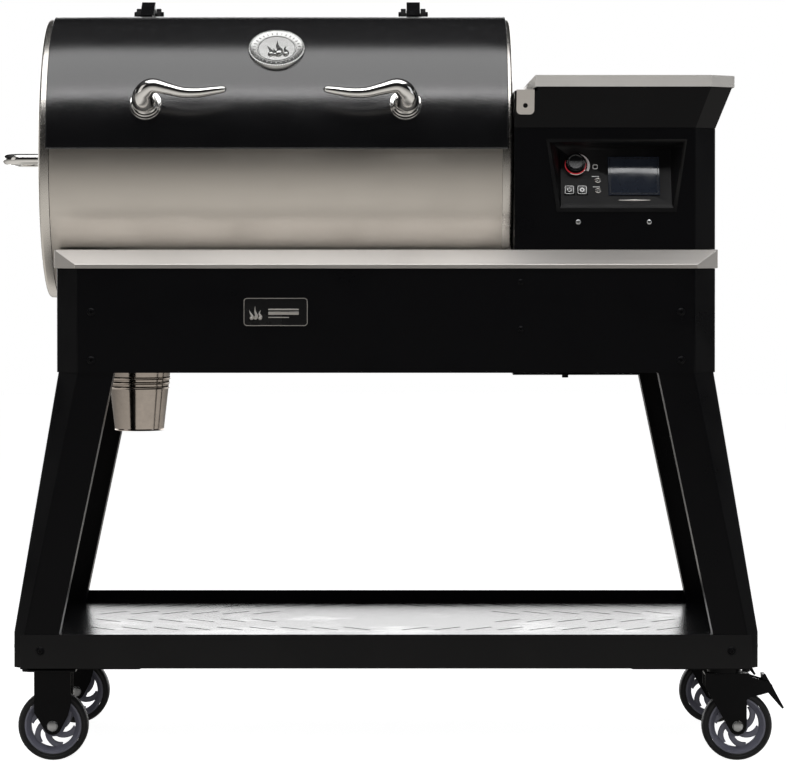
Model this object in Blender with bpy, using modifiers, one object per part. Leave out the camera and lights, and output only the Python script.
"""Pellet smoker grill on a four-wheeled cart.

Metres, +Z up. X runs to the right as the user faces the grill, Y runs to its back. X = 0 is the middle of
the cart, Y = 0 the plane of the barrel's axis, and Z = 0 the ground. A part's mesh is written in these
world coordinates, except the casters, which are built round their own swivel or wheel and then placed.
"""
import math

import bmesh
import bpy
from mathutils import Matrix, Vector

# ---------------------------------------------------------------- fits and sheet metal
GAP = 0.0003            # clearance between two pieces that touch
SHEET = 0.002           # cabinet, hopper and barrel sheet
LEG_SHEET = 0.003
WELD = 0.00002          # points nearer than this are one point
OVER = 0.01             # how far a cutter runs past what it cuts

# ---------------------------------------------------------------- cart
CART_HALF_WIDTH = 0.543
CART_HALF_DEPTH = 0.290
CABINET_CORNER = 0.036  # 45 degree corners, seen from above
CABINET_BOTTOM = 0.643
PANEL_TOP = 0.814
DECK_TOP = 0.845
LEDGE_OVERHANG = 0.004  # the stainless shelf stands out from the panel's sides
LEDGE_NOSE = 0.003
LEDGE_SLOPE_DEPTH = 0.036
LEDGE_SLOPE_FALL = 0.024
LEDGE_SHEET = 0.0015

FOOT_SPREAD = 0.070     # foot outside the cabinet's side
FOOT_WIDTH = 0.076
FOOT_CORNER = 0.020
FOOT_BOTTOM = 0.157
FOOT_TOP = 0.215
LEG_TOP = 0.775
LEG_TOP_WIDTH = 0.0937
LEG_SIDE_DEPTH = 0.085
LEG_RETURN_DEPTH = 0.040

TRAY_TOP = 0.213
TRAY_LIP_TOP = 0.231
TRAY_APRON_SETBACK = 0.013
SLOT_RUN = 0.044        # across the shelf, centre to centre of a slot's ends
SLOT_DEPTH = 0.048
SLOT_WIDTH = 0.005
SLOT_PITCH = 0.053
SLOT_ROW = 0.065        # first row from the middle
SLOT_ROW_STEP = 0.130
SLOT_FIRST = 0.4725     # outermost slot's centre
SLOTS_INNER_ROW = 6
SLOTS_OUTER_ROW = 9

# ---------------------------------------------------------------- casters
WHEEL_RADIUS = 0.058
TYRE_WIDTH = 0.032
RIM_RADIUS = 0.047
RIM_WIDTH = 0.028
HUB_LENGTH = 0.036
HUB_RADIUS = 0.012
AXLE_RADIUS = 0.005
AXLE_HEAD = 0.0085
AXLE_HEAD_HEIGHT = 0.005
RUNNING_FIT = 0.0005
CHEEK = 0.003
CHEEK_SPACE = 0.0015    # hub to cheek
CASTER_INSET = 0.055    # caster behind the shelf's front edge
FIXED_CASTER_INSET = 0.062      # fixed and swivel casters inside the foot's outer side
SWIVEL_INSET = 0.053
SWIVEL_TRAIL = 0.021
RAIL_TOP = FOOT_BOTTOM - GAP
RAIL_SHEET = 0.0032
RAIL_WIDTH = 0.198
RAIL_INSET = 0.010
RAIL_END_INSET = 0.018
RACEWAY_RADIUS = 0.028
CROWN_TOP = 0.1452
KINGPIN_RADIUS = 0.006
KINGPIN_NUT = 0.010
BRAKE_PIVOT = (0.070, 0.122)    # from the swivel axis, and above the ground
BRAKE_PIN_RADIUS = 0.003
BRAKE_HALF_WIDTH = 0.017

# ---------------------------------------------------------------- barrel, lid and their hinges
AXIS_Z = 1.000
BARREL_RADIUS = 0.238   # outside of the end caps
BARREL_OVERHANG = 0.0325
BARREL_LENGTH = 0.7855
CAP_RIM = 0.017
CAP_EDGE = 0.005        # rounding of the cap's edge
SHELL_SETBACK = 0.0015  # shell inside the caps' outer radius
SHELL_OPENING = (4.5, 105.0)    # degrees up and over from the front
LID_SPAN = (2.6, 107.0)
LID_CLEAR = 0.0035      # lid over the end caps
LID_LAP = (0.0125, 0.0075)      # how far the lid stays inside the left and right cap faces
BARREL_STEP = 5.0       # degrees between facets
HINGE_STAND = 0.035     # hinge pin outside the barrel's radius
HINGE_SPREAD = 0.230
HINGE_PIN = 0.0039
HINGE_BORE = 0.0042
HINGE_EAR = 0.0115
HINGE_FOOT = (109.5, 124.0)
HINGE_PLATE = 0.003
LEAF_WIDTH = 0.024
BASE_WIDTH = 0.043
LEAF_START = 90.0
KNUCKLE = 0.0085

HORN_SPREAD = 0.215
HORN_ANGLE = 20.4
HORN_FLANGE = 0.027
BADGE_RADIUS = 0.0475
BADGE_ANGLE = 47.7
BADGE_STAND = 0.004

SIDE_HANDLE_RADIUS = 0.009
SIDE_HANDLE_REACH = 0.0655
SIDE_HANDLE_HALF = 0.110
SIDE_HANDLE_BEND = 0.030
SIDE_HANDLE_FLANGE = 0.016

HOOD_HALF_LENGTH = 0.200
FLUE_HALF_LENGTH = 0.150

# ---------------------------------------------------------------- hopper and controls
HOPPER_GAP = 0.0015     # hopper to barrel
CASING_OVERHANG = 0.003
CASING_BACK_INSET = 0.055       # casing's back inside the cabinet's
CASING_TOP = 1.0455
BIN_RIM = 1.120
BIN_FLARE_TOP = 1.1125
BIN_FLARE_OUT = 0.0255
BIN_FRONT_FLARE = 0.026
BIN_CORNER = 0.038
BIN_WELL_FRONT = -0.195
BIN_WELL_BOTTOM = 0.990
BIN_WELL_CLEAR = 0.003
BIN_STRIP_WIDTH = 0.0375
BIN_STRIP_TOP = 1.106
THROAT_HALF = 0.040
THROAT_SHIFT = -0.00875 # left of the casing's middle
HOPPER_LID_TOP = 1.1314
HOPPER_LID_OVERLAP = 0.0035
HOPPER_LID_FRONT = 0.008
HOPPER_LID_OVERHANG = 0.017     # lid behind the casing's back
HOPPER_LID_CORNER = 0.041
HOPPER_HINGE_STAND = 0.0085     # pin behind the casing's back
HOPPER_HINGE_Z = 1.100
HOPPER_HINGE_PIN = 0.0025
HOPPER_HINGE_BORE = 0.0028
HOPPER_HINGE_SHIFTS = (-0.07875, 0.12125)
BAY_FLOOR_DROP = 0.0075 # bay floor below the cabinet
BAY_FLOOR_SHORT = 0.121 # bay floor ends before the casing's right side
BAY_END_CLEAR = 0.0016  # bay's wall ends this far inside the barrel's chord at the deck

RECESS_TOP = 1.0225
RECESS_BOTTOM = 0.9127
RECESS_HALF_TOP = 0.1113
RECESS_HALF_BOTTOM = 0.0934
RECESS_SHIFT = 0.0016   # right of the casing's middle
FACE_HALF_WIDTH = 0.0915
FACE_BOTTOM = 0.920
FACE_TOP = 1.011
FACE_DEPTH = 0.004      # depth of the face's lower edge behind the fascia
FACE_TILT = 24.0
BEZEL_SHEET = 0.0012
BEZEL_FLANGE = 0.004
KNOB_RADIUS = 0.0175
KNOB_HEIGHT = 0.014
KNOB_SHAFT = 0.004
BUTTON_SIZE = 0.017
BUTTON_FIT = 0.0005
BUTTON_STAND = 0.002
SCREEN_WIDTH = 0.085
SCREEN_HEIGHT = 0.0696
SCREEN_THICK = 0.002

# ---------------------------------------------------------------- firing and cooking parts
POT_SHIFT = 0.03275     # right of the barrel's middle
POT_RADIUS = 0.050
POT_HOLE_CLEAR = 0.003
POT_RISE = 0.038        # pot's rim over the barrel's bottom, and its floor below it
POT_DROP = 0.062
AUGER_DROP = 0.027      # auger's axis below the barrel's bottom
TUBE_RADIUS = 0.025
FLIGHT_RADIUS = 0.021
SHAFT_RADIUS = 0.006
FLIGHT_PITCH = 0.060
FLIGHT_TURNS = 8
FLIGHT_SIDES = 12
MOTOR_GAP = 0.0035
MOTOR_INSETS = (0.0925, 0.011)  # motor's two ends inside the casing's right side
BLOWER_SHIFT = -0.04875
BLOWER_Y = (0.080, 0.140)
BLOWER_RISE = 0.0695    # blower's axis over the bay's floor
BLOWER_RADIUS = 0.058
DEFLECTOR_RISE = 0.078
DEFLECTOR_HALF = 0.125
PAN_HALF_DEPTH = 0.190
PAN_WALL = 0.015
GRATE_CLEAR = 0.01146   # grate's front and back edges inside the barrel, at the grate's own height
GRATE_RISE = 0.211      # grate's underside over the barrel's bottom
GRATE_THICK = 0.004
GRATE_SLOTS = 24

# ---------------------------------------------------------------- grease bucket
SPOUT_SHIFT = 0.1515    # right of the barrel's left face
SPOUT_Y = 0.020
SPOUT_RADIUS = 0.011
SPOUT_BORE = 0.009
SPOUT_DROP = 0.094      # spout's mouth below the barrel's bottom
PEG_DROP = 0.049
PEG_RADIUS = 0.003
PEG_FRONT = -0.010
BAIL_WIRE = 0.00175
BAIL_CLEAR = 0.010      # bail's arc outside the bucket's rim
BUCKET_DROP = 0.105     # bucket's rim below the barrel's bottom
BUCKET_HEIGHT = 0.123
BUCKET_TOP_RADIUS = 0.056
BUCKET_BOTTOM_RADIUS = 0.042
BUCKET_WALL = 0.0012
EAR_INSET = 0.0019      # ears start inside the bucket's wall and end outside it
EAR_STAND = 0.0021
RIB_RISE = 0.074        # lowest rib over the bucket's bottom
RIB_PITCH = 0.008
RIB_STAND = 0.0018

# ---------------------------------------------------------------- places worked out from the sizes
BARREL_BOTTOM = AXIS_Z - BARREL_RADIUS
LID_INNER = BARREL_RADIUS + LID_CLEAR
HINGE_Y = (BARREL_RADIUS + HINGE_STAND) * 5 / 13    # the pin stands on a 5, 12, 13 triangle
HINGE_Z = AXIS_Z + (BARREL_RADIUS + HINGE_STAND) * 12 / 13
PANEL_INNER = CART_HALF_WIDTH - SHEET - GAP
LEG_FACE = CART_HALF_DEPTH - SHEET - GAP
FOOT_OUTER = CART_HALF_WIDTH + FOOT_SPREAD
BARREL_LEFT = -(CART_HALF_WIDTH + BARREL_OVERHANG)
BARREL_RIGHT = BARREL_LEFT + BARREL_LENGTH
BARREL_MIDDLE = (BARREL_LEFT + BARREL_RIGHT) / 2
SHELL_OUTER = BARREL_RADIUS - SHELL_SETBACK
SHELL_INNER = SHELL_OUTER - SHEET
LID_OUTER = LID_INNER + SHEET
DECK_CHORD = math.sqrt(BARREL_RADIUS ** 2 - (AXIS_Z - DECK_TOP) ** 2)
SEAM_Y = -(DECK_CHORD + 0.0024)     # where the barrel's flank passes the deck
FIXED_CASTER_X = -(FOOT_OUTER - FIXED_CASTER_INSET)
SWIVEL_X = FOOT_OUTER - SWIVEL_INSET
CASTER_HALF_TRACK = CART_HALF_DEPTH - CASTER_INSET
RAIL_OUTER = FOOT_OUTER - RAIL_INSET
RAIL_INNER = RAIL_OUTER - RAIL_WIDTH
RAIL_HALF_LENGTH = CART_HALF_DEPTH - RAIL_END_INSET
CASING_FRONT = -(CART_HALF_DEPTH - CABINET_CORNER)
CASING_BACK = CART_HALF_DEPTH - CASING_BACK_INSET
CASING_LEFT = BARREL_RIGHT + HOPPER_GAP
CASING_RIGHT = CART_HALF_WIDTH + CASING_OVERHANG
CASING_BOTTOM = DECK_TOP + GAP
CASING_MIDDLE = (CASING_LEFT + CASING_RIGHT) / 2
RECESS_X = CASING_MIDDLE + RECESS_SHIFT
HOPPER_LID_BACK = CASING_BACK + HOPPER_LID_OVERHANG
HOPPER_HINGE_Y = CASING_BACK + HOPPER_HINGE_STAND
HOPPER_HINGE_X = [CASING_MIDDLE + shift for shift in HOPPER_HINGE_SHIFTS]
THROAT_X = CASING_MIDDLE + THROAT_SHIFT
BAY_HALF_DEPTH = DECK_CHORD - BAY_END_CLEAR
BAY_FLOOR = CABINET_BOTTOM - BAY_FLOOR_DROP
BAY_FLOOR_END = CASING_RIGHT - BAY_FLOOR_SHORT
POT_X = BARREL_MIDDLE + POT_SHIFT
POT_TOP = BARREL_BOTTOM + POT_RISE
POT_BOTTOM = BARREL_BOTTOM - POT_DROP
AUGER_Z = BARREL_BOTTOM - AUGER_DROP
MOTOR_X = [CASING_RIGHT - inset for inset in MOTOR_INSETS]
AUGER_END = MOTOR_X[0] - MOTOR_GAP
BLOWER_X = CASING_MIDDLE + BLOWER_SHIFT
BLOWER_Z = BAY_FLOOR + BLOWER_RISE
DEFLECTOR_TOP = BARREL_BOTTOM + DEFLECTOR_RISE
GRATE_Z = BARREL_BOTTOM + GRATE_RISE
GRATE_HALF_DEPTH = math.sqrt(BARREL_RADIUS ** 2 - (AXIS_Z - GRATE_Z) ** 2) - GRATE_CLEAR
SPOUT_X = BARREL_LEFT + SPOUT_SHIFT
SPOUT_BOTTOM = BARREL_BOTTOM - SPOUT_DROP
PEG_Z = BARREL_BOTTOM - PEG_DROP
BUCKET_TOP = BARREL_BOTTOM - BUCKET_DROP
BUCKET_BOTTOM = BUCKET_TOP - BUCKET_HEIGHT
RIB_LOW = BUCKET_BOTTOM + RIB_RISE
BAIL_RADIUS = BUCKET_TOP_RADIUS + BAIL_CLEAR
EYE_Z = PEG_Z + PEG_RADIUS + GAP + BAIL_WIRE - BAIL_RADIUS
BUCKET_TAPER = (BUCKET_TOP_RADIUS - BUCKET_BOTTOM_RADIUS) / BUCKET_HEIGHT
EYE_WALL = BUCKET_BOTTOM_RADIUS + BUCKET_TAPER * (EYE_Z - BUCKET_BOTTOM)
BUCKET_EAR = (EYE_WALL - EAR_INSET, EYE_WALL + EAR_STAND)
CHEEK_INNER = HUB_LENGTH / 2 + CHEEK_SPACE
CHEEK_OUTER = CHEEK_INNER + CHEEK

# ---------------------------------------------------------------- planes for flat outlines
PLAN = Matrix.Identity(4)
SIDE = Matrix(((0, 0, 1, 0), (1, 0, 0, 0), (0, 1, 0, 0), (0, 0, 0, 1)))     # outline in Y and Z, along X
FRONT = Matrix(((1, 0, 0, 0), (0, 0, -1, 0), (0, 1, 0, 0), (0, 0, 0, 1)))   # outline in X and Z, along Y

for leftover in list(bpy.data.objects):
    bpy.data.objects.remove(leftover, do_unlink=True)
PARTS = bpy.data.collections.new("pellet_smoker_grill")
CUTTERS = bpy.data.collections.new("cutters")
for group in (PARTS, CUTTERS):
    bpy.context.scene.collection.children.link(group)


# ================================================================ helpers
def material(name, colour, roughness, metallic):
    """Principled finish of one colour."""
    finish = bpy.data.materials.new(name)
    finish.use_nodes = True
    shader = finish.node_tree.nodes["Principled BSDF"]
    shader.inputs["Base Color"].default_value = (*colour, 1)
    shader.inputs["Roughness"].default_value = roughness
    shader.inputs["Metallic"].default_value = metallic
    finish.diffuse_color = (*colour, 1)
    return finish


BLACK_COAT = material("black_powder_coat", (0.012, 0.012, 0.013), 0.45, 0.0)
LID_COAT = material("textured_black_coat", (0.030, 0.030, 0.032), 0.50, 0.0)
STAINLESS = material("brushed_stainless", (0.60, 0.59, 0.57), 0.32, 1.0)
CHROME = material("polished_chrome", (0.80, 0.80, 0.80), 0.08, 1.0)
ZINC = material("zinc_plate", (0.55, 0.56, 0.58), 0.35, 1.0)
CAST = material("satin_cast_badge", (0.62, 0.62, 0.61), 0.35, 1.0)
RUBBER = material("black_rubber", (0.020, 0.020, 0.020), 0.70, 0.0)
RIM_PLASTIC = material("grey_rim_plastic", (0.16, 0.16, 0.18), 0.45, 0.0)
GLOSS_BLACK = material("gloss_black_plastic", (0.010, 0.010, 0.011), 0.20, 0.0)
SCREEN_GLASS = material("dark_screen", (0.020, 0.024, 0.032), 0.10, 0.0)
DARK_STEEL = material("dark_steel", (0.09, 0.09, 0.09), 0.50, 1.0)


def pivot(name, location, parent=None):
    """Empty on a joint's axis, which the moving pieces hang from."""
    empty = bpy.data.objects.new(name, None)
    PARTS.objects.link(empty)
    if parent:
        empty.parent = parent
        empty.matrix_parent_inverse = parent.matrix_world.inverted()
    empty.location = location
    bpy.context.view_layer.update()
    return empty


def piece(name, mesh, finish, parent=None, location=(0, 0, 0)):
    """One sub-part of the grill."""
    mesh.name = name
    mesh.materials.append(finish)
    mesh.shade_smooth()
    mesh.set_sharp_from_angle(angle=math.radians(35))
    part = bpy.data.objects.new(name, mesh)
    PARTS.objects.link(part)
    if parent:
        part.parent = parent
        part.matrix_parent_inverse = parent.matrix_world.inverted()
    part.location = location
    return part


def operand(target, mesh, operation):
    """Boolean step on a part, with its other solid kept in the cutters' collection."""
    tool = bpy.data.objects.new(f"{target.name}_{operation.lower()}_{len(target.modifiers)}", mesh)
    CUTTERS.objects.link(tool)
    tool.parent = target
    tool.hide_render = True
    tool.display_type = "WIRE"
    step = target.modifiers.new(tool.name, "BOOLEAN")
    step.operation = operation
    step.solver = "EXACT"
    step.object = tool
    return tool


def cut(target, *meshes):
    """Takes solids away from a part and returns the last cutter."""
    return [operand(target, mesh, "DIFFERENCE") for mesh in meshes][-1]


def join(target, *meshes):
    """Welds solids to a part and returns the last one."""
    return [operand(target, mesh, "UNION") for mesh in meshes][-1]


def closed(shape):
    """Mesh from a bmesh, welded and facing out."""
    bmesh.ops.remove_doubles(shape, verts=shape.verts, dist=WELD)
    bmesh.ops.recalc_face_normals(shape, faces=shape.faces)
    if shape.calc_volume(signed=True) < 0:
        bmesh.ops.reverse_faces(shape, faces=shape.faces)
    mesh = bpy.data.meshes.new("solid")
    shape.to_mesh(mesh)
    shape.free()
    return mesh


def mesh_of_curve(curve, place):
    """Welded mesh of a curve, in its place."""
    holder = bpy.data.objects.new("curve", curve)
    CUTTERS.objects.link(holder)
    evaluated = holder.evaluated_get(bpy.context.evaluated_depsgraph_get())
    raw = bpy.data.meshes.new_from_object(evaluated)
    shape = bmesh.new()
    shape.from_mesh(raw)
    bpy.data.objects.remove(holder)
    bpy.data.meshes.remove(raw)
    bpy.data.curves.remove(curve)
    bmesh.ops.transform(shape, matrix=place, verts=shape.verts)
    return closed(shape)


def slab(outline, low, high, plane=PLAN, holes=()):
    """Flat outline, with holes, between two heights across its plane."""
    curve = bpy.data.curves.new("outline", "CURVE")
    curve.dimensions = "2D"
    curve.fill_mode = "BOTH"
    curve.extrude = (high - low) / 2
    for loop in (outline, *holes):
        spline = curve.splines.new("POLY")
        spline.points.add(len(loop) - 1)
        for point, (x, y) in zip(spline.points, loop):
            point.co = (x, y, 0, 1)
        spline.use_cyclic_u = True
    middle = -(low + high) / 2 if plane is FRONT else (low + high) / 2
    return mesh_of_curve(curve, plane @ Matrix.Translation((0, 0, middle)))


def wire(points, radii, sides=2):
    """Round bar through points, with a radius at each."""
    curve = bpy.data.curves.new("bar", "CURVE")
    curve.dimensions = "3D"
    curve.bevel_depth = 1.0
    curve.bevel_resolution = sides
    curve.use_fill_caps = True
    spline = curve.splines.new("POLY")
    spline.points.add(len(points) - 1)
    for node, place, radius in zip(spline.points, points, radii):
        node.co = (*place, 1)
        node.radius = radius
    return mesh_of_curve(curve, PLAN)


def block(low, high):
    """Box between two corners."""
    low, high = Vector(low), Vector(high)
    shape = bmesh.new()
    size = Matrix.Diagonal((*(high - low), 1))
    bmesh.ops.create_cube(shape, size=1, matrix=Matrix.Translation((low + high) / 2) @ size)
    return closed(shape)


def rod(start, end, radius, sides=20):
    """Straight round bar between two points."""
    start, end = Vector(start), Vector(end)
    along = end - start
    turn = along.to_track_quat("Z", "Y").to_matrix().to_4x4()
    shape = bmesh.new()
    bmesh.ops.create_cone(shape, cap_ends=True, segments=sides, radius1=radius, radius2=radius,
                          depth=along.length, matrix=Matrix.Translation((start + end) / 2) @ turn)
    return closed(shape)


def turned(profile, steps, place, ring=False):
    """Profile of (radius, height) points spun round the height axis of a place."""
    shape = bmesh.new()
    points = [shape.verts.new((radius, 0, height)) for radius, height in profile]
    edges = [shape.edges.new(pair) for pair in zip(points, points[1:])]
    if ring:
        edges.append(shape.edges.new((points[-1], points[0])))
    bmesh.ops.spin(shape, geom=points + edges, cent=(0, 0, 0), axis=(0, 0, 1), angle=math.tau,
                   steps=steps, use_merge=True)
    bmesh.ops.transform(shape, matrix=place, verts=shape.verts)
    return closed(shape)


def loft(rings):
    """Closed skin over rings that have the same number of points."""
    shape = bmesh.new()
    levels = [[shape.verts.new(point) for point in ring] for ring in rings]
    for lower, upper in zip(levels, levels[1:]):
        for i in range(len(lower)):
            shape.faces.new((lower[i - 1], lower[i], upper[i], upper[i - 1]))
    shape.faces.new(levels[0])
    shape.faces.new(levels[-1])
    return closed(shape)


def offset(path, distance):
    """Path moved to its left by a distance, with mitred corners."""
    moved = []
    for i, here in enumerate(path):
        here = Vector(here)
        before = (here - Vector(path[i - 1])).normalized() if i else None
        after = (Vector(path[i + 1]) - here).normalized() if i < len(path) - 1 else None
        sides = [Vector((-way.y, way.x)) for way in (before, after) if way]
        mitre = sum(sides, Vector((0, 0))).normalized()
        moved.append(tuple(here + mitre * distance / mitre.dot(sides[0])))
    return moved


def folded(path, thickness):
    """Outline of a sheet folded along a path, its thickness to the path's left."""
    return list(path) + offset(path, thickness)[::-1]


def arc(centre, radius, first, last, count):
    """Points on an arc, angles in degrees."""
    angles = [math.radians(first + (last - first) * i / count) for i in range(count + 1)]
    return [(centre[0] + radius * math.cos(a), centre[1] + radius * math.sin(a)) for a in angles]


def chamfered(left, right, front, back, corner):
    """Plan outline of a box whose two right-hand corners are cut at 45 degrees."""
    return [(left, front), (right - corner, front), (right, front + corner),
            (right, back - corner), (right - corner, back), (left, back)]


def on_barrel(radius, degrees):
    """Point (Y, Z) round the barrel's axis, measured from the front up and over the top."""
    angle = math.radians(degrees)
    return (-radius * math.cos(angle), AXIS_Z + radius * math.sin(angle))


def curved_strip(inner, outer, first, last):
    """Outline (Y, Z) of a sheet bent round the barrel's axis."""
    count = max(2, math.ceil((last - first) / BARREL_STEP))
    angles = [first + (last - first) * i / count for i in range(count + 1)]
    return [on_barrel(outer, a) for a in angles] + [on_barrel(inner, a) for a in reversed(angles)]


def smooth(points, between):
    """Catmull-Rom curve through points, with steps between each pair."""
    points = [Vector(point) for point in points]
    ends = [2 * points[0] - points[1], *points, 2 * points[-1] - points[-2]]
    curve = []
    for a, b, c, d in zip(ends, ends[1:], ends[2:], ends[3:]):
        for i in range(between):
            t = i / between
            curve.append(0.5 * (2 * b + (c - a) * t + (2 * a - 5 * b + 4 * c - d) * t ** 2
                                + (3 * b - a - 3 * c + d) * t ** 3))
    return curve + [points[-1]]


def barrel_bar(radius, low, high, sides=120):
    """Cylinder on the barrel's axis."""
    return rod((low, 0, AXIS_Z), (high, 0, AXIS_Z), radius, sides)


# ================================================================ cart
def front_panel():
    side, face, corner = CART_HALF_WIDTH, -CART_HALF_DEPTH, CABINET_CORNER
    path = [(-side, SEAM_Y), (-side, face + corner), (-side + corner, face),
            (side - corner, face), (side, face + corner), (side, SEAM_Y)]
    piece("front_panel", slab(folded(path, SHEET), CABINET_BOTTOM, PANEL_TOP), BLACK_COAT)


def cabinet_shell():
    """Both sides and the back in one folded sheet, with the rear deck welded in."""
    side, back, corner = CART_HALF_WIDTH, CART_HALF_DEPTH, CABINET_CORNER
    path = [(side, SEAM_Y + GAP), (side, back - corner), (side - corner, back),
            (-side + corner, back), (-side, back - corner), (-side, SEAM_Y + GAP)]
    shell = piece("cabinet_shell", slab(folded(path, SHEET), CABINET_BOTTOM, DECK_TOP), BLACK_COAT)
    middle = offset(path, SHEET / 2)
    behind_hopper = CASING_BACK + SHEET
    deck = [(middle[1][0], behind_hopper), *middle[1:5], (middle[4][0], -SEAM_Y),
            (BARREL_RIGHT - 0.0005, -SEAM_Y), (BARREL_RIGHT - 0.0005, behind_hopper)]
    join(shell, slab(deck, DECK_TOP - SHEET, DECK_TOP))
    cut(shell, barrel_bar(BARREL_RADIUS + SHEET, -CART_HALF_WIDTH - OVER, BARREL_RIGHT))


def front_shelf():
    """Stainless ledge: a sloped nose and a short lip, open underneath and at the back."""
    side = CART_HALF_WIDTH + LEDGE_OVERHANG
    face = -CART_HALF_DEPTH - LEDGE_NOSE
    corner = CABINET_CORNER
    plan = [(-side, SEAM_Y), (-side, face + corner), (-side + corner, face),
            (side - corner, face), (side, face + corner), (side, SEAM_Y)]
    shape = bmesh.new()
    shape.from_mesh(slab(plan, PANEL_TOP + 0.0005, DECK_TOP))
    slope = Vector((0, -LEDGE_SLOPE_FALL, LEDGE_SLOPE_DEPTH)).normalized()
    bmesh.ops.bisect_plane(shape, geom=[*shape.verts, *shape.edges, *shape.faces], dist=WELD,
                           plane_co=(0, face + LEDGE_SLOPE_DEPTH, DECK_TOP), plane_no=slope,
                           clear_outer=True)
    bmesh.ops.holes_fill(shape, edges=shape.edges)
    bmesh.ops.recalc_face_normals(shape, faces=shape.faces)
    shape.normal_update()
    open_sides = [face for face in shape.faces if face.normal.y > 0.9 or face.normal.z < -0.9]
    bmesh.ops.delete(shape, geom=open_sides, context="FACES")
    mesh = bpy.data.meshes.new("ledge")
    shape.to_mesh(mesh)
    shape.free()
    shelf = piece("front_shelf", mesh, STAINLESS)
    wall = shelf.modifiers.new("sheet", "SOLIDIFY")
    wall.thickness = LEDGE_SHEET
    wall.offset = -1
    wall.use_even_offset = True


def leg(name, side, end):
    """Folded leg: upright in the foot and behind the panel, slanted between them."""
    def section(outer, width, corner, height):
        path = [(outer - width, LEG_FACE - LEG_RETURN_DEPTH), (outer - width, LEG_FACE),
                (outer - corner, LEG_FACE), (outer, LEG_FACE - corner), (outer, LEG_FACE - LEG_SIDE_DEPTH)]
        return [(side * x, end * y, height) for x, y in folded(path, -LEG_SHEET)]

    top_corner = CABINET_CORNER - (2 - math.sqrt(2)) * (SHEET + GAP)
    foot = (FOOT_OUTER, FOOT_WIDTH, FOOT_CORNER)
    head = (PANEL_INNER, LEG_TOP_WIDTH, top_corner)
    rings = [section(*foot, FOOT_BOTTOM), section(*foot, FOOT_TOP),
             section(*head, CABINET_BOTTOM - GAP), section(*head, LEG_TOP)]
    piece(name, loft(rings), BLACK_COAT)


def tray_slots():
    """Slanted slots of the bottom shelf: four rows, mirrored about the middle."""
    slots = []
    half = Vector((SLOT_RUN, SLOT_DEPTH)) / 2
    for row in range(2):
        count = SLOTS_OUTER_ROW if row else SLOTS_INNER_ROW
        for side in (-1, 1):
            for end in (-1, 1):
                way = Vector((-side * half.x, end * half.y)) if end > 0 else Vector((side * half.x, half.y))
                across = Vector((-way.y, way.x)).normalized() * SLOT_WIDTH / 2
                for i in range(count):
                    centre = Vector((side * (SLOT_FIRST - i * SLOT_PITCH),
                                     end * (SLOT_ROW + row * SLOT_ROW_STEP)))
                    slots.append([centre + way + across, centre - way + across,
                                  centre - way - across, centre + way - across])
    return slots


def bottom_shelf():
    """Perforated shelf with an apron on each side, and a lip along the back."""
    side, end = FOOT_OUTER - LEG_SHEET - 0.0005, CART_HALF_DEPTH
    fold = 0.0005       # the plate stops this far inside each apron's outer face
    notch_x = FOOT_OUTER - FOOT_WIDTH - 0.0005
    notch_y = LEG_FACE - LEG_RETURN_DEPTH - 0.0007
    wide, deep = side - fold, end - fold
    shelf = piece("bottom_shelf", block((-wide, -deep, TRAY_TOP - SHEET), (wide, deep, TRAY_TOP)), BLACK_COAT)
    for x in (-1, 1):
        for y in (-1, 1):
            left, right = sorted((x * notch_x, x * (wide + OVER)))
            near, far = sorted((y * notch_y, y * (deep + OVER)))
            cut(shelf, block((left, near, TRAY_TOP - OVER), (right, far, TRAY_TOP + OVER)))
    long = FOOT_OUTER - TRAY_APRON_SETBACK
    join(shelf, block((-long, -end, FOOT_BOTTOM), (long, -end + SHEET, TRAY_TOP - fold)),
         block((-long, end - SHEET, FOOT_BOTTOM), (long, end, TRAY_LIP_TOP)))
    short = LEG_FACE - LEG_SIDE_DEPTH - 0.0007
    for way in (-1, 1):
        inner, outer = sorted((way * (side - SHEET), way * side))
        join(shelf, block((inner, -short, FOOT_BOTTOM), (outer, short, TRAY_TOP - fold)))
    slots = tray_slots()
    cut(shelf, slab(slots[0], TRAY_TOP - OVER, TRAY_TOP + OVER, holes=slots[1:]))


# ================================================================ casters
def caster_rails():
    """Flat rails under the feet; the right one carries the swivel raceways."""
    low = RAIL_TOP - RAIL_SHEET
    for name, way in (("caster_rail_left", -1), ("caster_rail_right", 1)):
        inner, outer = sorted((way * RAIL_INNER, way * RAIL_OUTER))
        rail = piece(name, block((inner, -RAIL_HALF_LENGTH, low), (outer, RAIL_HALF_LENGTH, RAIL_TOP)),
                     BLACK_COAT)
    for y in (-CASTER_HALF_TRACK, CASTER_HALF_TRACK):
        stack = [(RACEWAY_RADIUS, CROWN_TOP + GAP, low + 0.001, 20),
                 (KINGPIN_RADIUS, CROWN_TOP - 0.0065, low, 12),
                 (KINGPIN_NUT, CROWN_TOP - 0.0085, CROWN_TOP - CHEEK - 0.0005, 6)]
        for radius, bottom, top, sides in stack:
            join(rail, rod((SWIVEL_X, y, bottom), (SWIVEL_X, y, top), radius, sides))


def fork_blank(outline, web_under, pocket):
    """Solid fork outline, hollowed to two cheeks and a web on top."""
    return (slab(outline, -CHEEK_OUTER, CHEEK_OUTER, FRONT),
            block((-pocket, -CHEEK_INNER, -OVER), (pocket, CHEEK_INNER, web_under)))


def axle_hole(x):
    """Drill for the axle bolt through both cheeks."""
    return rod((x, -CHEEK_OUTER - OVER, WHEEL_RADIUS), (x, CHEEK_OUTER + OVER, WHEEL_RADIUS),
               AXLE_RADIUS + 0.0004, 16)


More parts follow.
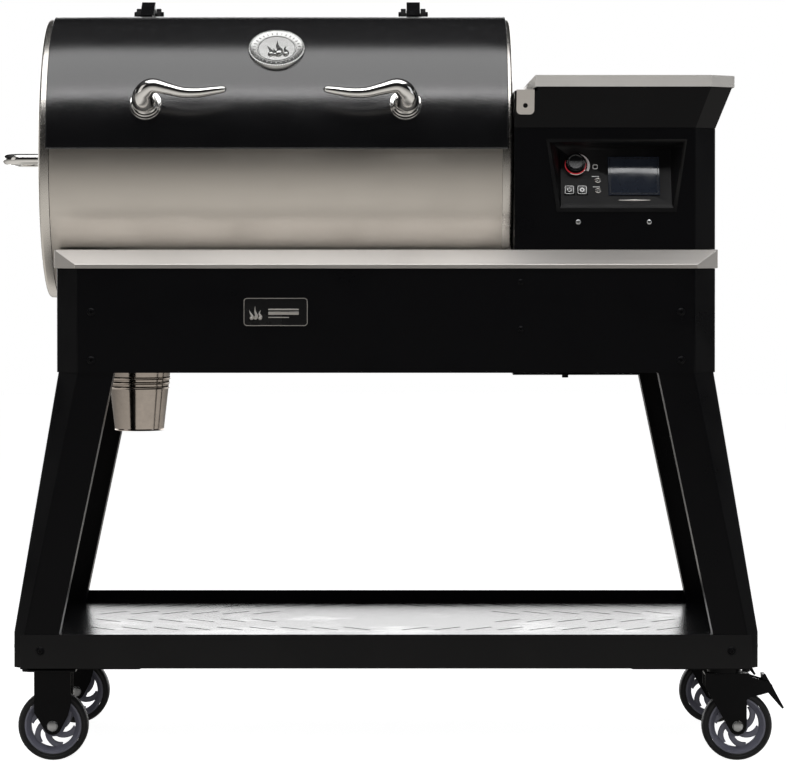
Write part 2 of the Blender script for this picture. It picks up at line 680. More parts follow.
def fixed_fork(name, y):
    top = RAIL_TOP - RAIL_SHEET - GAP
    half, plate = 0.0305, 0.0035
    outline = [(-half, 0.080), *arc((0, WHEEL_RADIUS), 0.015, 200, 340, 6), (0.0255, 0.075), (half, 0.095),
               (half, top - 0.002), (-half, top - 0.002)]
    blank, pocket = fork_blank(outline, top - plate - CHEEK, 0.05)
    fork = piece(name, blank, BLACK_COAT, location=(FIXED_CASTER_X, y, 0))
    cut(fork, pocket)
    join(fork, block((-0.040, -0.044, top - plate), (0.040, 0.044, top)))
    cut(fork, axle_hole(0))


def swivel_fork(name, parent, y):
    """Fork that trails behind its kingpin, with ears for the brake lever's pin."""
    px, pz = BRAKE_PIVOT
    low = WHEEL_RADIUS
    outline = [(-0.033, CROWN_TOP), (-0.033, 0.124),
               *arc((SWIVEL_TRAIL, low), 0.015, 195, 360, 6), (0.036, 0.101), (0.040, 0.1055), (0.060, 0.110),
               *arc((px, pz), 0.009, -60, 80, 5), (0.045, 0.139), (0.040, CROWN_TOP)]
    blank, pocket = fork_blank(outline, CROWN_TOP - CHEEK, 0.12)
    fork = piece(name, blank, BLACK_COAT, parent, (SWIVEL_X, y, 0))
    cut(fork, pocket)
    join(fork, rod((0, 0, CROWN_TOP - CHEEK), (0, 0, CROWN_TOP), RACEWAY_RADIUS, 20),
         rod((px, -CHEEK_OUTER, pz), (px, CHEEK_OUTER, pz), BRAKE_PIN_RADIUS, 10))
    cut(fork, rod((0, 0, CROWN_TOP - OVER), (0, 0, CROWN_TOP + OVER), KINGPIN_RADIUS + 0.0005, 12),
        axle_hole(SWIVEL_TRAIL))


def axle(name, x, y, parent=None):
    """Hexagon bolt through both cheeks, with a nut."""
    head = CHEEK_OUTER + GAP
    end = head + AXLE_HEAD_HEIGHT
    bolt = piece(name, rod((0, -end + 0.001, 0), (0, end - 0.001, 0), AXLE_RADIUS, 12), ZINC, parent,
                 (x, y, WHEEL_RADIUS))
    join(bolt, rod((0, -end, 0), (0, -head, 0), AXLE_HEAD, 6), rod((0, head, 0), (0, end, 0), AXLE_HEAD, 6))


def wheel(ending, x, y, parent):
    """Rim with curved openings, and its tyre."""
    steps, half = 24, RIM_WIDTH / 2
    bore, web = AXLE_RADIUS + RUNNING_FIT, 0.0045
    disc = [(bore, -HUB_LENGTH / 2), (HUB_RADIUS, -HUB_LENGTH / 2), (HUB_RADIUS, -web), (0.039, -web),
            (RIM_RADIUS, -half), (RIM_RADIUS, half), (0.039, web),
            (HUB_RADIUS, web), (HUB_RADIUS, HUB_LENGTH / 2), (bore, HUB_LENGTH / 2)]
    centre = (x, y, WHEEL_RADIUS)
    rim = piece(f"rim_{ending}", turned(disc, steps, FRONT, ring=True), RIM_PLASTIC, parent, centre)
    for i in range(6):
        start = i * 60
        swirl = [*arc((0, 0), 0.036, start, start + 34, 1), *arc((0, 0), 0.017, start + 44, start + 20, 1)]
        cut(rim, slab(swirl, -half, half, FRONT))
    half = TYRE_WIDTH / 2
    bed = RIM_RADIUS + GAP
    tread = [(bed, -half + 0.001), (WHEEL_RADIUS - 0.003, -half), (WHEEL_RADIUS, -half + 0.005),
             (WHEEL_RADIUS, half - 0.005), (WHEEL_RADIUS - 0.003, half), (bed, half - 0.001)]
    piece(f"tyre_{ending}", turned(tread, steps, FRONT, ring=True), RUBBER, parent, centre)


def brake_lever(name, parent, y):
    px, pz = BRAKE_PIVOT
    outline = [(px - 0.008, pz + 0.021), (px - 0.0065, pz - 0.004), (px, pz - 0.0075), (px + 0.025, pz - 0.036),
               (px + 0.028, pz - 0.034), (px + 0.009, pz + 0.001), (px - 0.003, pz + 0.022)]
    lever = piece(name, slab(outline, -BRAKE_HALF_WIDTH, BRAKE_HALF_WIDTH, FRONT), BLACK_COAT, parent,
                  (SWIVEL_X, y, 0))
    cut(lever, rod((px, -0.02, pz), (px, 0.02, pz), BRAKE_PIN_RADIUS + 0.0004, 10))


def casters():
    for end, y in (("front", -CASTER_HALF_TRACK), ("rear", CASTER_HALF_TRACK)):
        left, right = f"{end}_left", f"{end}_right"
        fixed_fork(f"fork_{left}", y)
        axle(f"axle_{left}", FIXED_CASTER_X, y)
        wheel(left, FIXED_CASTER_X, y, pivot(f"wheel_axis_{left}", (FIXED_CASTER_X, y, WHEEL_RADIUS)))
        turn = pivot(f"swivel_axis_{end}", (SWIVEL_X, y, CROWN_TOP))
        swivel_fork(f"fork_{right}", turn, y)
        wheel_x = SWIVEL_X + SWIVEL_TRAIL
        axle(f"axle_{right}", wheel_x, y, turn)
        wheel(right, wheel_x, y, pivot(f"wheel_axis_{right}", (wheel_x, y, WHEEL_RADIUS), turn))
        brake = pivot(f"brake_axis_{end}", (SWIVEL_X + BRAKE_PIVOT[0], y, BRAKE_PIVOT[1]), turn)
        brake_lever(f"brake_lever_{end}", brake, y)


# ================================================================ barrel
def barrel_shell():
    """Rolled shell, open at the front where the lid sits, with the grease spout under it."""
    low, high = BARREL_LEFT + CAP_RIM + 0.0008, BARREL_RIGHT - CAP_RIM - GAP
    first, last = SHELL_OPENING
    shell = piece("barrel_shell", slab(curved_strip(SHELL_INNER, SHELL_OUTER, last, first + 360), low, high,
                                       SIDE), STAINLESS)
    under = AXIS_Z - SHELL_OUTER
    peg_start = SPOUT_Y - SPOUT_RADIUS + 0.001
    join(shell, rod((SPOUT_X, SPOUT_Y, SPOUT_BOTTOM), (SPOUT_X, SPOUT_Y, under + 0.003), SPOUT_RADIUS),
         rod((SPOUT_X, peg_start, PEG_Z), (SPOUT_X, PEG_FRONT, PEG_Z), PEG_RADIUS, 12))
    flue = BARREL_MIDDLE
    cut(shell, rod((SPOUT_X, SPOUT_Y, SPOUT_BOTTOM - OVER), (SPOUT_X, SPOUT_Y, under + 0.02), SPOUT_BORE),
        rod((POT_X, 0, under - OVER), (POT_X, 0, under + 0.02), POT_RADIUS + POT_HOLE_CLEAR, 20),
        block((flue - FLUE_HALF_LENGTH, BARREL_RADIUS - 0.038, AXIS_Z),
              (flue + FLUE_HALF_LENGTH, BARREL_RADIUS + 0.012, AXIS_Z + 0.06)))


def barrel_ends():
    """Pressed end caps; each has a ledge inside for the cooking grate."""
    radius, rim, edge = BARREL_RADIUS, CAP_RIM, CAP_EDGE
    rounding = arc((radius - edge, edge), edge, -90, 0, 2)
    inner = radius - SHEET
    profile = [(0, 0), *rounding, (radius, rim), (inner, rim), (inner, edge + SHEET),
               (inner - edge, SHEET), (0, SHEET)]
    ledge_top = GRATE_Z - GAP
    for name, face, way in (("barrel_end_left", BARREL_LEFT, 1), ("barrel_end_right", BARREL_RIGHT, -1)):
        place = Matrix.Translation((face, 0, AXIS_Z)) @ Matrix.Diagonal((way, 1, 1, 1)) @ SIDE
        cap = piece(name, turned(profile, 48, place), STAINLESS)
        low, high = sorted((face + way * SHEET / 2, face + way * 0.034))
        join(cap, block((low, -0.15, ledge_top - 0.012), (high, 0.15, ledge_top)))


def side_handle():
    """Bent tube on the left cap, with a round flange at each foot."""
    start, reach = BARREL_LEFT - GAP, BARREL_LEFT - SIDE_HANDLE_REACH
    half, bend = SIDE_HANDLE_HALF, SIDE_HANDLE_BEND
    front = [(start, -half)] + arc((reach + bend, -half + bend), bend, 270, 180, 4)
    route = front + [(x, -y) for x, y in reversed(front)]
    height = AXIS_Z - 0.003
    handle = piece("side_handle", wire([(x, y, height) for x, y in route],
                                       [SIDE_HANDLE_RADIUS] * len(route), 3), CHROME)
    for y in (-half, half):
        join(handle, rod((start - 0.004, y, height), (start, y, height), SIDE_HANDLE_FLANGE, 16))


def exhaust_hood():
    """Folded hood over the flue, open underneath and towards the barrel."""
    half = HOOD_HALF_LENGTH
    r, z = BARREL_RADIUS, AXIS_Z
    outside = [(r - 0.048, z + 0.100), (r - 0.048, z - 0.040), (r + 0.064, z - 0.040), (r + 0.064, z + 0.040),
               (r + 0.024, z + 0.085)]
    inside = [(r - 0.068, z + 0.098), (r - 0.068, z - 0.060), (r + 0.062, z - 0.060), (r + 0.062, z + 0.0392),
              (r + 0.023, z + 0.083)]
    hood = piece("exhaust_hood", slab(outside, BARREL_MIDDLE - half, BARREL_MIDDLE + half, SIDE), BLACK_COAT)
    cut(hood, slab(inside, BARREL_MIDDLE - half + SHEET, BARREL_MIDDLE + half - SHEET, SIDE),
        barrel_bar(SHELL_OUTER + GAP, BARREL_LEFT, BARREL_RIGHT))


def hinge_base(name, x):
    """Foot on the shell with two ears, and the pin through them."""
    first, last = HINGE_FOOT
    half = BASE_WIDTH / 2
    foot_inner = SHELL_OUTER + GAP
    foot_outer = foot_inner + HINGE_PLATE
    wide = half + 0.0008
    base = piece(name, slab(curved_strip(foot_inner, foot_outer, first, last), x - wide, x + wide, SIDE),
                 BLACK_COAT)
    ear = [on_barrel(foot_outer - 0.001, first + 1), *arc((HINGE_Y, HINGE_Z), HINGE_EAR, 190, -20, 7),
           on_barrel(foot_outer - 0.001, last - 1)]
    inner = LEAF_WIDTH / 2 + 0.0008
    for low, high in ((-half, -inner), (inner, half)):
        join(base, slab(ear, x + low, x + high, SIDE))
    join(base, rod((x - half + 0.001, HINGE_Y, HINGE_Z), (x + half - 0.001, HINGE_Y, HINGE_Z), HINGE_PIN, 12))


def lid_parts():
    """Everything that swings up on the lid's two hinges."""
    first, last = LID_SPAN
    swing = pivot("lid_axis", (BARREL_MIDDLE, HINGE_Y, HINGE_Z))
    low, high = BARREL_LEFT + LID_LAP[0], BARREL_RIGHT - LID_LAP[1]
    bent = curved_strip(LID_INNER, LID_OUTER, first, last)
    piece("lid_shell", slab(bent, low, high, SIDE), LID_COAT, swing)
    for name, way in (("hinge_leaf_left", -1), ("hinge_leaf_right", 1)):
        hinge_leaf(name, BARREL_MIDDLE + way * HINGE_SPREAD, swing)
    for name, way in (("horn_handle_left", 1), ("horn_handle_right", -1)):
        horn_handle(name, BARREL_MIDDLE - way * HORN_SPREAD, way, swing)
    facing = math.radians(BADGE_ANGLE)
    out = Vector((0, -math.cos(facing), math.sin(facing)))
    middle = Vector((BARREL_MIDDLE, 0, AXIS_Z))
    disc = rod(middle + out * (LID_INNER - 0.012), middle + out * (LID_OUTER + BADGE_STAND), BADGE_RADIUS, 32)
    badge = piece("lid_badge", disc, CAST, swing)
    cut(badge, barrel_bar(LID_OUTER + GAP, BARREL_MIDDLE - 0.1, BARREL_MIDDLE + 0.1))


def hinge_leaf(name, x, parent):
    """Plate on the lid, raised to a knuckle round the pin, with a stop lug on top."""
    half = LEAF_WIDTH / 2
    inner = LID_OUTER + GAP
    outer = inner + HINGE_PLATE
    wide, narrow = half + 0.0004, half - 0.0004
    plate = curved_strip(inner, outer, LEAF_START, LID_SPAN[1] - 1)
    leaf = piece(name, slab(plate, x - wide, x + wide, SIDE), BLACK_COAT, parent)
    arm = [on_barrel(outer - 0.001, LID_SPAN[1] - 9), on_barrel(inner + 0.0005, LID_SPAN[1] - 1.5),
           (HINGE_Y - 0.002, HINGE_Z - KNUCKLE + 0.0005), (HINGE_Y + 0.008, HINGE_Z),
           (HINGE_Y + 0.006, HINGE_Z + 0.022), (HINGE_Y - 0.012, HINGE_Z + 0.022)]
    join(leaf, slab(arm, x - narrow, x + narrow, SIDE),
         rod((x - half, HINGE_Y, HINGE_Z), (x + half, HINGE_Y, HINGE_Z), KNUCKLE, 16))
    cut(leaf, rod((x - half - OVER, HINGE_Y, HINGE_Z), (x + half + OVER, HINGE_Y, HINGE_Z), HINGE_BORE, 12))


def horn_handle(name, x, way, parent):
    """Horn-shaped handle: a thick root on a round flange, curving to a thin tip over the middle."""
    route = [(0, -0.002, 0), (-0.004, 0.018, 0.003), (0.000, 0.034, 0.010), (0.0145, 0.045, 0.0148),
             (0.0387, 0.048, 0.0085), (0.063, 0.047, 0.0027), (0.087, 0.045, 0.0028),
             (0.111, 0.043, 0.0068), (0.1295, 0.041, 0.0105), (0.1345, 0.0405, 0.0115)]
    radii = [0.0165, 0.0145, 0.0118, 0.0096, 0.0080, 0.0075, 0.0070, 0.0062, 0.0048, 0.0020]
    facing = math.radians(HORN_ANGLE)
    out = Vector((0, -math.cos(facing), math.sin(facing)))
    up = Vector((0, math.sin(facing), math.cos(facing)))
    seat = Vector((x, 0, AXIS_Z)) + out * (LID_OUTER + GAP)
    across = Vector((way, 0, 0))
    points = [seat + across * a + out * b + up * c for a, b, c in smooth(route, 2)]
    sizes = [size.x for size in smooth([(radius, 0, 0) for radius in radii], 2)]
    horn = piece(name, wire(points, sizes, 3), CHROME, parent)
    join(horn, rod(seat - out * 0.006, seat + out * 0.005, HORN_FLANGE, 20))
    cut(horn, barrel_bar(LID_OUTER + GAP, x - 0.05, x + 0.05))


# ================================================================ hopper
def hopper_casing():
    """Box under the bin, with the sheet that closes the firing bay below it."""
    plan = chamfered(CASING_LEFT, CASING_RIGHT, CASING_FRONT, CASING_BACK, CABINET_CORNER)
    loop = plan + plan[:1]
    inside = offset(loop + plan[1:2], SHEET)[1:-1]
    casing = piece("hopper_casing", slab(plan, CASING_BOTTOM, CASING_TOP, holes=[inside]), BLACK_COAT)
    wall = [(CASING_LEFT + 0.0005, DECK_TOP + 0.010), (CASING_LEFT + 0.0005, BAY_FLOOR),
            (BAY_FLOOR_END, BAY_FLOOR)]
    join(casing, slab(folded(wall, SHEET), -BAY_HALF_DEPTH, BAY_HALF_DEPTH, FRONT))
    grown = recess_ring(BEZEL_SHEET + 0.0005)
    cut(casing, slab(grown, CASING_FRONT - OVER, CASING_FRONT + OVER, FRONT),
        rod((CASING_LEFT - OVER, 0, AUGER_Z), (CASING_LEFT + OVER, 0, AUGER_Z), TUBE_RADIUS + GAP, 24))


def recess_ring(grow):
    """Outline (X, Z) of the control recess, grown by a margin."""
    top, bottom = RECESS_HALF_TOP + grow, RECESS_HALF_BOTTOM + grow
    return [(RECESS_X - bottom, RECESS_BOTTOM - grow), (RECESS_X + bottom, RECESS_BOTTOM - grow),
            (RECESS_X + top, RECESS_TOP + grow), (RECESS_X - top, RECESS_TOP + grow)]


def face_point(across, up, out=0.0):
    """Point on the tilted control face: across from its middle, up from its lower edge, and out of it."""
    tilt = math.radians(FACE_TILT)
    start = Vector((RECESS_X + across, CASING_FRONT + FACE_DEPTH, FACE_BOTTOM))
    slope = Vector((0, math.sin(tilt), math.cos(tilt)))
    return start + slope * up + Vector((0, -math.cos(tilt), math.sin(tilt))) * out


def face_ring(grow, out):
    """Corners of the control face, grown by a margin and moved out of it."""
    height = (FACE_TOP - FACE_BOTTOM) / math.cos(math.radians(FACE_TILT))
    half = FACE_HALF_WIDTH + grow
    return [face_point(a, b, out) for a, b in ((-half, -grow), (half, -grow), (half, height + grow),
                                               (-half, height + grow))]


def on_face(across, up, out, size):
    """Box that stands on the control face: its middle, its distance out and its half sizes."""
    tilt = Matrix.Rotation(math.radians(-FACE_TILT), 4, "X")
    shape = bmesh.new()
    bmesh.ops.create_cube(shape, size=1, matrix=Matrix.Translation(face_point(across, up, out)) @ tilt
                          @ Matrix.Diagonal((*size, 1)))
    return closed(shape)


KNOB_PLACE = (-0.0664, 0.0709)
POWER_PLACE = (-0.0774, 0.0252)
SELECT_PLACE = (-0.0564, 0.0252)
SCREEN_PLACE = (0.0296, 0.0506)


def face_rod(place, low, high, radius, sides=20):
    """Round bar square to the control face."""
    return rod(face_point(*place, low), face_point(*place, high), radius, sides)


def control_bezel():
    """Recessed tray whose floor is the tilted control face."""
    flange = recess_ring(BEZEL_SHEET + BEZEL_FLANGE)
    front = CASING_FRONT - GAP
    bezel = piece("control_bezel", slab(flange, front - BEZEL_SHEET, front, FRONT), GLOSS_BLACK)
    mouth = [(x, front - BEZEL_SHEET / 2, z) for x, z in recess_ring(BEZEL_SHEET)]
    join(bezel, loft([mouth, face_ring(BEZEL_SHEET, -BEZEL_SHEET)]))
    outside = [(x, front - BEZEL_SHEET - 0.001, z) for x, z in recess_ring(0)]
    cut(bezel, loft([outside, face_ring(0, 0)]))
    cut(bezel, face_rod(KNOB_PLACE, -OVER, OVER, KNOB_SHAFT + RUNNING_FIT))
    hole = BUTTON_SIZE + 2 * BUTTON_FIT
    for across, up in (POWER_PLACE, SELECT_PLACE):
        cut(bezel, on_face(across, up, 0, (hole, 0.01, hole)))
    piece("display_screen", on_face(*SCREEN_PLACE, GAP + SCREEN_THICK / 2,
                                    (SCREEN_WIDTH, SCREEN_THICK, SCREEN_HEIGHT)), SCREEN_GLASS)


def control_knob():
    axis = pivot("knob_axis", face_point(*KNOB_PLACE))
    knob = piece("control_knob", face_rod(KNOB_PLACE, 0.001, KNOB_HEIGHT, KNOB_RADIUS, 24), GLOSS_BLACK, axis)
    join(knob, face_rod(KNOB_PLACE, -0.008, 0.004, KNOB_SHAFT, 12))


def buttons():
    for name, place in (("power_button", POWER_PLACE), ("select_button", SELECT_PLACE)):
        guide = pivot(f"{name}_guide", face_point(*place))
        thick = 2 * BUTTON_STAND + BEZEL_SHEET
        piece(name, on_face(*place, BUTTON_STAND - thick / 2, (BUTTON_SIZE, thick, BUTTON_SIZE)),
              GLOSS_BLACK, guide)


def bin_plan(inset, height, flared):
    """Ring of the hopper bin at a height: the casing's outline, or the wider rim."""
    right, front, corner = CASING_RIGHT, CASING_FRONT, CABINET_CORNER
    if flared:
        right, front, corner = right + BIN_FLARE_OUT, front - BIN_FRONT_FLARE, BIN_CORNER
    corner -= (2 - math.sqrt(2)) * inset
    plan = chamfered(CASING_LEFT + inset, right - inset, front + inset, CASING_BACK - inset, corner)
    return [(x, y, height) for x, y in plan]


def bin_well(inset, height):
    """Ring of the part of the bin that hangs inside the casing."""
    clear = SHEET + BIN_WELL_CLEAR + inset
    corner = CABINET_CORNER - (2 - math.sqrt(2)) * clear
    plan = chamfered(CASING_LEFT + clear, CASING_RIGHT - clear, BIN_WELL_FRONT + inset,
                     CASING_BACK - clear, corner)
    return [(x, y, height) for x, y in plan]


def throat(inset, height):
    """Ring of the chute over the auger."""
    half = THROAT_HALF - inset
    plan = chamfered(THROAT_X - half, THROAT_X + half, -half, half, 0.008)
    return [(x, y, height) for x, y in plan]


def hopper_bin():
    """Pellet bin: flared mouth, straight well, funnel and chute in one folded shell."""
    chute = AUGER_Z + TUBE_RADIUS + 0.002
    seat = CASING_TOP + GAP
    well = BIN_WELL_BOTTOM
    outside = loft([throat(0, chute), throat(0, chute + 0.04), bin_well(0, well), bin_well(0, seat),
                    bin_plan(0, seat, False), bin_plan(0, BIN_FLARE_TOP, True), bin_plan(0, BIN_RIM, True)])
    t = SHEET
    inside = loft([throat(t, chute - OVER), throat(t, chute + 0.04), bin_well(t, well), bin_well(t, seat + t),
                   bin_plan(t, seat + t, False), bin_plan(t, BIN_FLARE_TOP, True),
                   bin_plan(t, BIN_RIM + OVER, True)])
    bin_shell = piece("hopper_bin", outside, BLACK_COAT)
    strip = CASING_LEFT + BIN_STRIP_WIDTH
    cut(bin_shell, block((CASING_LEFT - OVER, -0.35, BIN_STRIP_TOP), (strip, 0.35, BIN_RIM + OVER)))
    hollow = cut(bin_shell, inside)
    cut(hollow, block((CASING_LEFT - OVER, -0.35, BIN_STRIP_TOP - t), (strip + t, 0.35, BIN_RIM + 2 * OVER)))
    y, z = HOPPER_HINGE_Y, HOPPER_HINGE_Z
    wall = CASING_BACK - SHEET / 2
    lug = [(wall, z + 0.006), (wall, z - 0.006), *arc((y, z), 0.005, -60, 60, 4)]
    for x in HOPPER_HINGE_X:
        for side in (-1, 1):
            low, high = sorted((x + side * 0.008, x + side * 0.014))
            join(bin_shell, slab(lug, low, high, SIDE))
        join(bin_shell, rod((x - 0.013, y, z), (x + 0.013, y, z), HOPPER_HINGE_PIN, 10))


def hopper_lid():
    """Shallow tray turned over the bin's rim, hinged along the back."""
    swing = pivot("hopper_lid_axis", (RECESS_X, HOPPER_HINGE_Y, HOPPER_HINGE_Z))
    right = CASING_RIGHT + BIN_FLARE_OUT + HOPPER_LID_OVERLAP
    front = CASING_FRONT - BIN_FRONT_FLARE - HOPPER_LID_FRONT
    left = CASING_LEFT + BIN_STRIP_WIDTH - 0.004
    plan = chamfered(left, right, front, HOPPER_LID_BACK, HOPPER_LID_CORNER)
    lid = piece("hopper_lid", slab(plan, BIN_FLARE_TOP, HOPPER_LID_TOP), STAINLESS, swing)
    corner = HOPPER_LID_CORNER - (2 - math.sqrt(2)) * SHEET
    under = chamfered(left + SHEET, right - SHEET, front + SHEET, HOPPER_LID_BACK - SHEET, corner)
    cut(lid, slab(under, BIN_FLARE_TOP - OVER, HOPPER_LID_TOP - SHEET))
    y, z = HOPPER_HINGE_Y, HOPPER_HINGE_Z
    ear = [*arc((y, z), 0.006, 180, 330, 6), (HOPPER_LID_BACK - SHEET / 2, z + 0.008),
           (HOPPER_LID_BACK - SHEET / 2, HOPPER_LID_TOP - SHEET / 2), (y, HOPPER_LID_TOP - SHEET / 2)]
    for x in HOPPER_HINGE_X:
        join(lid, slab(ear, x - 0.007, x + 0.007, SIDE))
    for x in HOPPER_HINGE_X:
        cut(lid, rod((x - 0.02, y, z), (x + 0.02, y, z), HOPPER_HINGE_BORE, 10))


def bottle_opener():
    """Stainless tab on the bin's sloped front, folded over its deck."""
    rise = BIN_FLARE_TOP - CASING_TOP - GAP
    lean = BIN_FRONT_FLARE / rise

    def front_at(z):
        return CASING_FRONT - lean * (z - CASING_TOP - GAP)

    bottom, top = BIN_STRIP_TOP - 0.038, BIN_STRIP_TOP + GAP
    path = [(front_at(bottom) - GAP, bottom), (front_at(top) - GAP, top), (front_at(top) + 0.030, top)]
    low = CASING_LEFT + 0.003
    high = CASING_LEFT + 0.0323
    tab = piece("bottle_opener", slab(folded(path, LEDGE_SHEET), low, high, SIDE), STAINLESS)
    middle, hole_z = (low + high) / 2, BIN_STRIP_TOP - 0.024
    cut(tab, rod((middle, -0.30, hole_z), (middle, -0.24, hole_z), 0.004, 12))


# ================================================================ fire, feed and cooking parts
def fire_pot():
    """Open cup through the barrel's floor, hung on a collar, with the auger's inlet in its side."""
    inner, r = POT_RADIUS - SHEET, POT_RADIUS
    seat = AXIS_Z - math.sqrt(SHELL_INNER ** 2 - (r + 0.010) ** 2) + 0.0006
    profile = [(0, POT_BOTTOM), (r, POT_BOTTOM), (r, seat), (r + 0.010, seat), (r + 0.010, seat + SHEET),
               (r, seat + SHEET), (r, POT_TOP), (inner, POT_TOP), (inner, POT_BOTTOM + SHEET),
               (0, POT_BOTTOM + SHEET)]
    pot = piece("fire_pot", turned(profile, 20, Matrix.Translation((POT_X, 0, 0))), DARK_STEEL)
    cut(pot, rod((POT_X + 0.02, 0, AUGER_Z), (POT_X + r + OVER, 0, AUGER_Z), FLIGHT_RADIUS + 0.001, 20))


def heat_deflector():
    half, top = DEFLECTOR_HALF, DEFLECTOR_TOP
    foot = AXIS_Z - math.sqrt(SHELL_INNER ** 2 - (half + 0.001) ** 2) + 0.001
    path = [(half, foot), (half, top), (-half, top), (-half, foot)]
    piece("heat_deflector", slab(folded(path, SHEET), POT_X - 0.125, POT_X + 0.125, SIDE), DARK_STEEL)


def drip_pan():
    """Shallow pan that rests on the barrel's flanks and drains over the spout."""
    half = PAN_HALF_DEPTH
    low = AXIS_Z - math.sqrt((SHELL_INNER - 0.0005) ** 2 - half ** 2)
    left, right = BARREL_LEFT + 0.0455, BARREL_RIGHT - 0.040
    pan = piece("drip_pan", block((left, -half, low), (right, half, low + PAN_WALL)), DARK_STEEL)
    cut(pan, block((left + SHEET, -half + SHEET, low + SHEET), (right - SHEET, half - SHEET, low + 0.1)),
        rod((SPOUT_X, SPOUT_Y, low - OVER), (SPOUT_X, SPOUT_Y, low + OVER), SPOUT_RADIUS, 16))


def cooking_grate():
    """Grate that spans the barrel, with slots from front to back."""
    left, right = BARREL_LEFT + 0.0205, BARREL_RIGHT - 0.020
    half, border = GRATE_HALF_DEPTH, 0.012
    pitch = (right - left - border) / GRATE_SLOTS
    holes = []
    for i in range(GRATE_SLOTS):
        start = left + border + i * pitch
        for low, high in ((-half + border, -0.005), (0.005, half - border)):
            end = start + pitch - border
            holes.append([(start, low), (end, low), (end, high), (start, high)])
    plan = [(left, -half), (right, -half), (right, half), (left, half)]
    piece("cooking_grate", slab(plan, GRATE_Z, GRATE_Z + GRATE_THICK, holes=holes), STAINLESS)


def auger_tube():
    start, end = POT_X + POT_RADIUS + 0.002, AUGER_END - 0.010
    tube = piece("auger_tube", rod((start, 0, AUGER_Z), (end, 0, AUGER_Z), TUBE_RADIUS, 24), DARK_STEEL)
    cut(tube, rod((start - OVER, 0, AUGER_Z), (end + OVER, 0, AUGER_Z), TUBE_RADIUS - SHEET, 24))
    inlet = THROAT_HALF - 0.012
    cut(tube, block((THROAT_X - inlet, -inlet, AUGER_Z + 0.008), (THROAT_X + inlet, inlet, AUGER_Z + 0.05)))


def auger_screw():
    """Shaft and helical flight in one skin: two rails wind along the flight's root and two along its tip."""
    axis = pivot("auger_axis", (POT_X, 0, AUGER_Z))
    start = POT_X + POT_RADIUS + 0.010
    sides, last = FLIGHT_SIDES, FLIGHT_SIDES * FLIGHT_TURNS
    shape = bmesh.new()

    def point(x, radius, step):
        angle = math.tau * step / sides
        return shape.verts.new((x, radius * math.sin(angle), AUGER_Z + radius * math.cos(angle)))

    def rail(x, radius):
        return [point(x + FLIGHT_PITCH * k / sides, radius, k) for k in range(last + 1)]

    root, tip, back_tip, back = (rail(start + x, radius) for x, radius in (
        (0, SHAFT_RADIUS), (0.001, FLIGHT_RADIUS), (0.003, FLIGHT_RADIUS), (0.004, SHAFT_RADIUS)))
    near = [point(start - 0.006, SHAFT_RADIUS, k) for k in range(sides)]
    far = [point(AUGER_END, SHAFT_RADIUS, k) for k in range(sides)]
    for one, other in ((root, tip), (tip, back_tip), (back_tip, back)):
        for k in range(last):
            shape.faces.new((one[k], one[k + 1], other[k + 1], other[k]))
    for k in range(last - sides):
        shape.faces.new((back[k], back[k + 1], root[k + 1 + sides], root[k + sides]))
    for k in range(sides - 1):
        shape.faces.new((near[k], near[k + 1], root[k + 1], root[k]))
        end = last - sides + 1 + k
        shape.faces.new((back[end], back[end + 1], far[(end + 1) % sides], far[end % sides]))
    shape.faces.new((near[-1], near[0], root[0], back[0], root[sides], root[sides - 1]))
    shape.faces.new((back[last - sides], back[last - sides + 1], far[1], far[0], back[last], root[last]))
    for loop in (near, far, (root[0], tip[0], back_tip[0], back[0]),
                 (root[last], tip[last], back_tip[last], back[last])):
        shape.faces.new(loop)
    piece("auger_screw", closed(shape), DARK_STEEL, axis)


def auger_motor():
    """Gear case and motor can behind the auger."""
    low, high = MOTOR_X
    motor = piece("auger_motor", block((low, -0.036, AUGER_Z - 0.036), (low + 0.030, 0.036, AUGER_Z + 0.036)),
                  DARK_STEEL)
    join(motor, rod((low + 0.029, 0, AUGER_Z), (high, 0, AUGER_Z), 0.030, 24))


def blower():
    """Fan housing on the bay's floor, with its inlet ring and outlet duct."""
    front, back = BLOWER_Y
    fan = piece("blower", rod((BLOWER_X, front, BLOWER_Z), (BLOWER_X, back, BLOWER_Z), BLOWER_RADIUS, 32),
                DARK_STEEL)
    floor = BAY_FLOOR + SHEET + GAP
    join(fan, block((BLOWER_X - 0.110, front + 0.010, BLOWER_Z - 0.050),
                    (BLOWER_X, back - 0.010, BLOWER_Z - 0.014)),
         block((BLOWER_X - 0.030, front + 0.005, floor), (BLOWER_X + 0.030, back - 0.005, BLOWER_Z - 0.030)))
    cut(fan, rod((BLOWER_X, front - OVER, BLOWER_Z), (BLOWER_X, front + 0.020, BLOWER_Z), 0.030, 24),
        block((BLOWER_X - 0.120, front + 0.012, BLOWER_Z - 0.048),
              (BLOWER_X - 0.060, back - 0.012, BLOWER_Z - 0.016)))


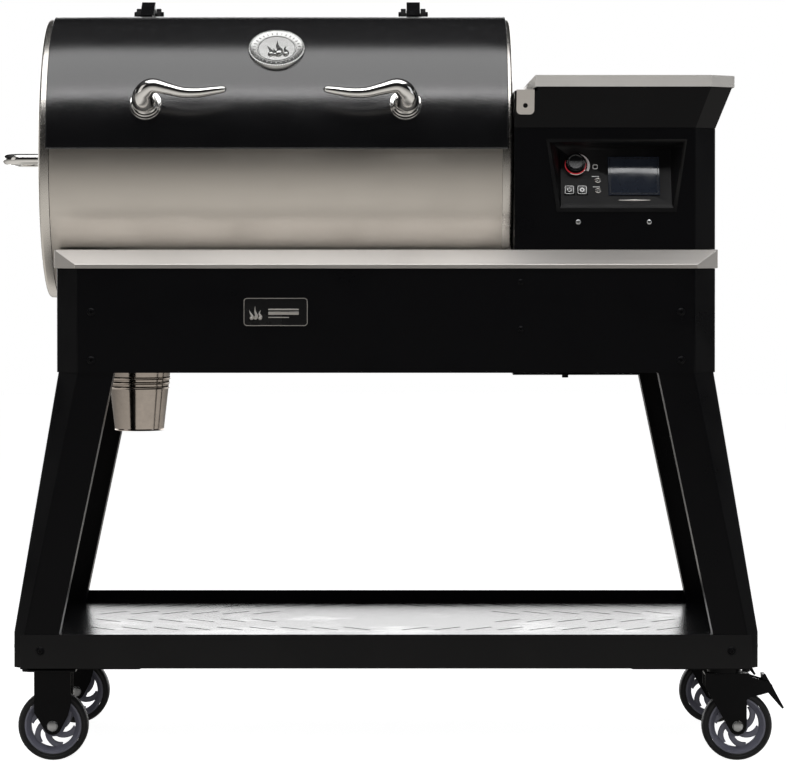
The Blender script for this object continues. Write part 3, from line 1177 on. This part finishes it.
# ================================================================ grease bucket
def grease_bucket():
    """Ribbed bucket that hangs by its wire bail from the spout's peg."""
    swing = pivot("bail_axis", (SPOUT_X, 0, PEG_Z))
    bail_points = arc((SPOUT_X, EYE_Z), BAIL_RADIUS, 0, 180, 16)
    inward = BUCKET_EAR[0] - 0.001
    route = [(x, 0, z) for x, z in [(SPOUT_X + inward, EYE_Z), *bail_points, (SPOUT_X - inward, EYE_Z)]]
    piece("bucket_bail", wire(route, [BAIL_WIRE] * len(route)), ZINC, swing)

    tilt = pivot("bucket_axis", (SPOUT_X, 0, EYE_Z), swing)

    def wall(z):
        return BUCKET_BOTTOM_RADIUS + BUCKET_TAPER * (z - BUCKET_BOTTOM)

    outside = [(0, BUCKET_BOTTOM + 0.002), (BUCKET_BOTTOM_RADIUS - 0.002, BUCKET_BOTTOM + 0.002),
               (BUCKET_BOTTOM_RADIUS - 0.0015, BUCKET_BOTTOM), (BUCKET_BOTTOM_RADIUS, BUCKET_BOTTOM)]
    outside += [(wall(RIB_LOW - RIB_PITCH / 2), RIB_LOW - RIB_PITCH / 2)]
    for rib in range(3):
        height_here = RIB_LOW + rib * RIB_PITCH
        between = height_here + RIB_PITCH / 2
        outside += [(wall(height_here) + RIB_STAND, height_here), (wall(between), between)]
    bead = BUCKET_TOP - 0.0015
    outside += [(wall(bead), bead - 0.0015), (wall(bead) + 0.0015, bead), (wall(BUCKET_TOP), BUCKET_TOP)]
    inside = [(wall(BUCKET_TOP) - BUCKET_WALL, BUCKET_TOP),
              (BUCKET_BOTTOM_RADIUS - BUCKET_WALL, BUCKET_BOTTOM + 0.002 + BUCKET_WALL),
              (0, BUCKET_BOTTOM + 0.002 + BUCKET_WALL)]
    place = Matrix.Translation((SPOUT_X, 0, 0))
    bucket = piece("grease_bucket", turned(outside + inside, 24, place), STAINLESS, tilt)
    for way in (-1, 1):
        low, high = sorted((SPOUT_X + way * (BUCKET_EAR[0] + 0.001), SPOUT_X + way * BUCKET_EAR[1]))
        join(bucket, block((low, -0.006, EYE_Z - 0.010), (high, 0.006, EYE_Z + 0.004)))
    eyes = rod((SPOUT_X - BAIL_RADIUS, 0, EYE_Z), (SPOUT_X + BAIL_RADIUS, 0, EYE_Z), BAIL_WIRE + 0.0005, 10)
    cut(bucket, eyes)


def build():
    front_panel()
    cabinet_shell()
    front_shelf()
    for end, end_way in (("front", -1), ("rear", 1)):
        for side, side_way in (("left", -1), ("right", 1)):
            leg(f"leg_{end}_{side}", side_way, end_way)
    bottom_shelf()
    caster_rails()
    casters()
    barrel_shell()
    barrel_ends()
    side_handle()
    exhaust_hood()
    for name, way in (("hinge_base_left", -1), ("hinge_base_right", 1)):
        hinge_base(name, BARREL_MIDDLE + way * HINGE_SPREAD)
    lid_parts()
    hopper_casing()
    control_bezel()
    control_knob()
    buttons()
    hopper_bin()
    hopper_lid()
    bottle_opener()
    fire_pot()
    heat_deflector()
    drip_pan()
    cooking_grate()
    auger_tube()
    auger_screw()
    auger_motor()
    blower()
    grease_bucket()


build()
